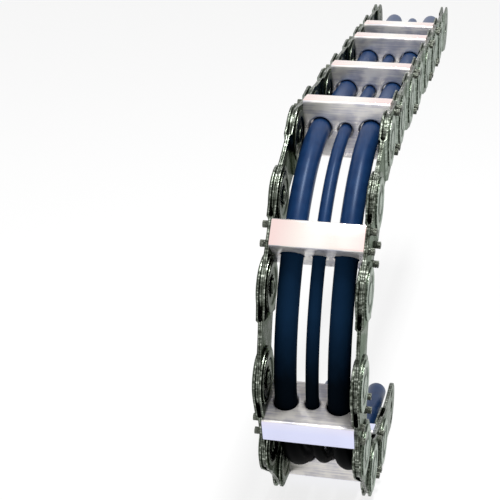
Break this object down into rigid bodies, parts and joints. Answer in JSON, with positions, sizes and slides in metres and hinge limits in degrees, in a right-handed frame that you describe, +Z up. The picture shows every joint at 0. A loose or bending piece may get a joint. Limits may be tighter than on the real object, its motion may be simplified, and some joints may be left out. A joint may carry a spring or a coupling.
{
  "type": "cable drag chain",
  "caption": "Steel cable drag chain: forked stamped side links on hinge pins, with split drilled stays that hold three cables round a half turn.",
  "frame": {"origin": "middle of the fixed-end hinge axis, between the two end tongues", "axes": "+X across the chain, +Y from the bend towards the moving end, +Z up, from the bottom run to the top run"},
  "size_m": [0.0794, 0.6113, 0.302],
  "materials": {
    "plates": "bright zinc-plated, glossy",
    "pins": "turned and zinc-plated, glossy",
    "stays": "polished extrusion, mirror-like",
    "bolts": "dark plated, satin",
    "cables": "smooth glossy jacket"
  },
  "bodies": {
    "link_01": {"left_plates_01": "plates", "right_plates_01": "plates", "hinge_pins_01": "pins", "cable_left": "cables", "cable_middle": "cables", "cable_right": "cables"},
    "link_02": {"left_plates_02": "plates", "right_plates_02": "plates", "hinge_pins_02": "pins", "stay_02": "stays", "stay_bolts_02": "bolts"},
    "link_03": {"left_plates_03": "plates", "right_plates_03": "plates", "hinge_pins_03": "pins"},
    "link_04": {"left_plates_04": "plates", "right_plates_04": "plates", "hinge_pins_04": "pins", "stay_04": "stays", "stay_bolts_04": "bolts"},
    "link_05": {"left_plates_05": "plates", "right_plates_05": "plates", "hinge_pins_05": "pins"},
    "link_06": {"left_plates_06": "plates", "right_plates_06": "plates", "hinge_pins_06": "pins", "stay_06": "stays", "stay_bolts_06": "bolts"},
    "link_07": {"left_plates_07": "plates", "right_plates_07": "plates", "hinge_pins_07": "pins"},
    "link_08": {"left_plates_08": "plates", "right_plates_08": "plates", "hinge_pins_08": "pins", "stay_08": "stays", "stay_bolts_08": "bolts"},
    "link_09": {"left_plates_09": "plates", "right_plates_09": "plates", "hinge_pins_09": "pins"},
    "link_10": {"left_plates_10": "plates", "right_plates_10": "plates", "hinge_pins_10": "pins", "stay_10": "stays", "stay_bolts_10": "bolts"},
    "link_11": {"left_plates_11": "plates", "right_plates_11": "plates", "hinge_pins_11": "pins"},
    "link_12": {"left_plates_12": "plates", "right_plates_12": "plates", "hinge_pins_12": "pins", "stay_12": "stays", "stay_bolts_12": "bolts"},
    "link_13": {"left_plates_13": "plates", "right_plates_13": "plates", "hinge_pins_13": "pins", "stay_13": "stays", "stay_bolts_13": "bolts"},
    "link_14": {"left_plates_14": "plates", "right_plates_14": "plates"}
  },
  "joints": [
    {"name": "hinge_01", "type": "hinge", "parent": "link_01", "child": "link_02", "pos_m": [0, -0.065, 0], "axis": [1, 0, 0], "range_deg": [-21, 9]},
    {"name": "hinge_02", "type": "hinge", "parent": "link_02", "child": "link_03", "pos_m": [0, -0.1292, 0.01017], "axis": [1, 0, 0], "range_deg": [0, 30]},
    {"name": "hinge_03", "type": "hinge", "parent": "link_03", "child": "link_04", "pos_m": [0, -0.17971, 0.05107], "axis": [1, 0, 0], "range_deg": [0, 30]},
    {"name": "hinge_04", "type": "hinge", "parent": "link_04", "child": "link_05", "pos_m": [0, -0.20301, 0.11176], "axis": [1, 0, 0], "range_deg": [0, 30], "deforming": ["cable_left", "cable_middle", "cable_right"]},
    {"name": "hinge_05", "type": "hinge", "parent": "link_05", "child": "link_06", "pos_m": [0, -0.19284, 0.17596], "axis": [1, 0, 0], "range_deg": [-3, 27]},
    {"name": "hinge_06", "type": "hinge", "parent": "link_06", "child": "link_07", "pos_m": [0, -0.15463, 0.22854], "axis": [1, 0, 0], "range_deg": [-3, 27]},
    {"name": "hinge_07", "type": "hinge", "parent": "link_07", "child": "link_08", "pos_m": [0, -0.09672, 0.25805], "axis": [1, 0, 0], "range_deg": [-3, 27]},
    {"name": "hinge_08", "type": "hinge", "parent": "link_08", "child": "link_09", "pos_m": [0, -0.03172, 0.25805], "axis": [-1, 0, 0], "range_deg": [0, 30]},
    {"name": "hinge_09", "type": "hinge", "parent": "link_09", "child": "link_10", "pos_m": [0, 0.03328, 0.25805], "axis": [-1, 0, 0], "range_deg": [0, 30]},
    {"name": "hinge_10", "type": "hinge", "parent": "link_10", "child": "link_11", "pos_m": [0, 0.09828, 0.25805], "axis": [-1, 0, 0], "range_deg": [0, 30]},
    {"name": "hinge_11", "type": "hinge", "parent": "link_11", "child": "link_12", "pos_m": [0, 0.16328, 0.25805], "axis": [-1, 0, 0], "range_deg": [0, 30]},
    {"name": "hinge_12", "type": "hinge", "parent": "link_12", "child": "link_13", "pos_m": [0, 0.22828, 0.25805], "axis": [-1, 0, 0], "range_deg": [0, 30]},
    {"name": "hinge_13", "type": "hinge", "parent": "link_13", "child": "link_14", "pos_m": [0, 0.29328, 0.25805], "axis": [-1, 0, 0], "range_deg": [0, 30]}
  ]
}
